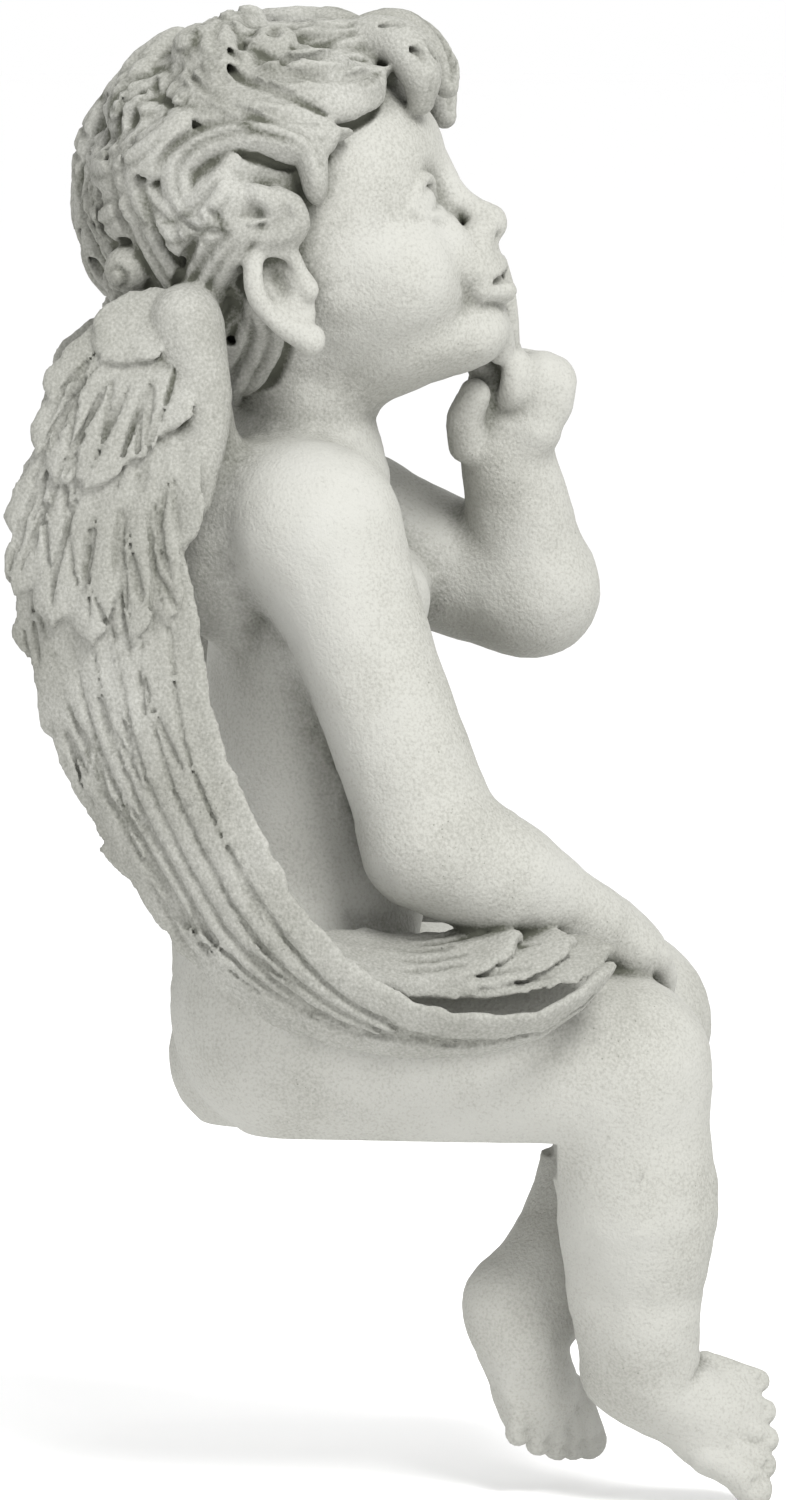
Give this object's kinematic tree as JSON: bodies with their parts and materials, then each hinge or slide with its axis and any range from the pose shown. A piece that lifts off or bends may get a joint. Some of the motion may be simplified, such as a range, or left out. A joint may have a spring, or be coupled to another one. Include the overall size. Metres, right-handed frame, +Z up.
{
  "type": "angel statue",
  "caption": "Seated cherub with folded wings and one finger at its lips, cast in one piece, that sits on a shelf edge with its legs hanging.",
  "frame": {"origin": "on the flat underside that the figure sits on, midway between its hips and its knees", "axes": "+Z up, the figure faces -Y, its left side is +X"},
  "size_m": [0.1875, 0.2288, 0.4444],
  "materials": {
    "aged_stone": "matt cast stone, light warm grey with darker grey-green in its hollows"
  },
  "bodies": {
    "root": {"angel_statue": "aged_stone"}
  },
  "joints": []
}
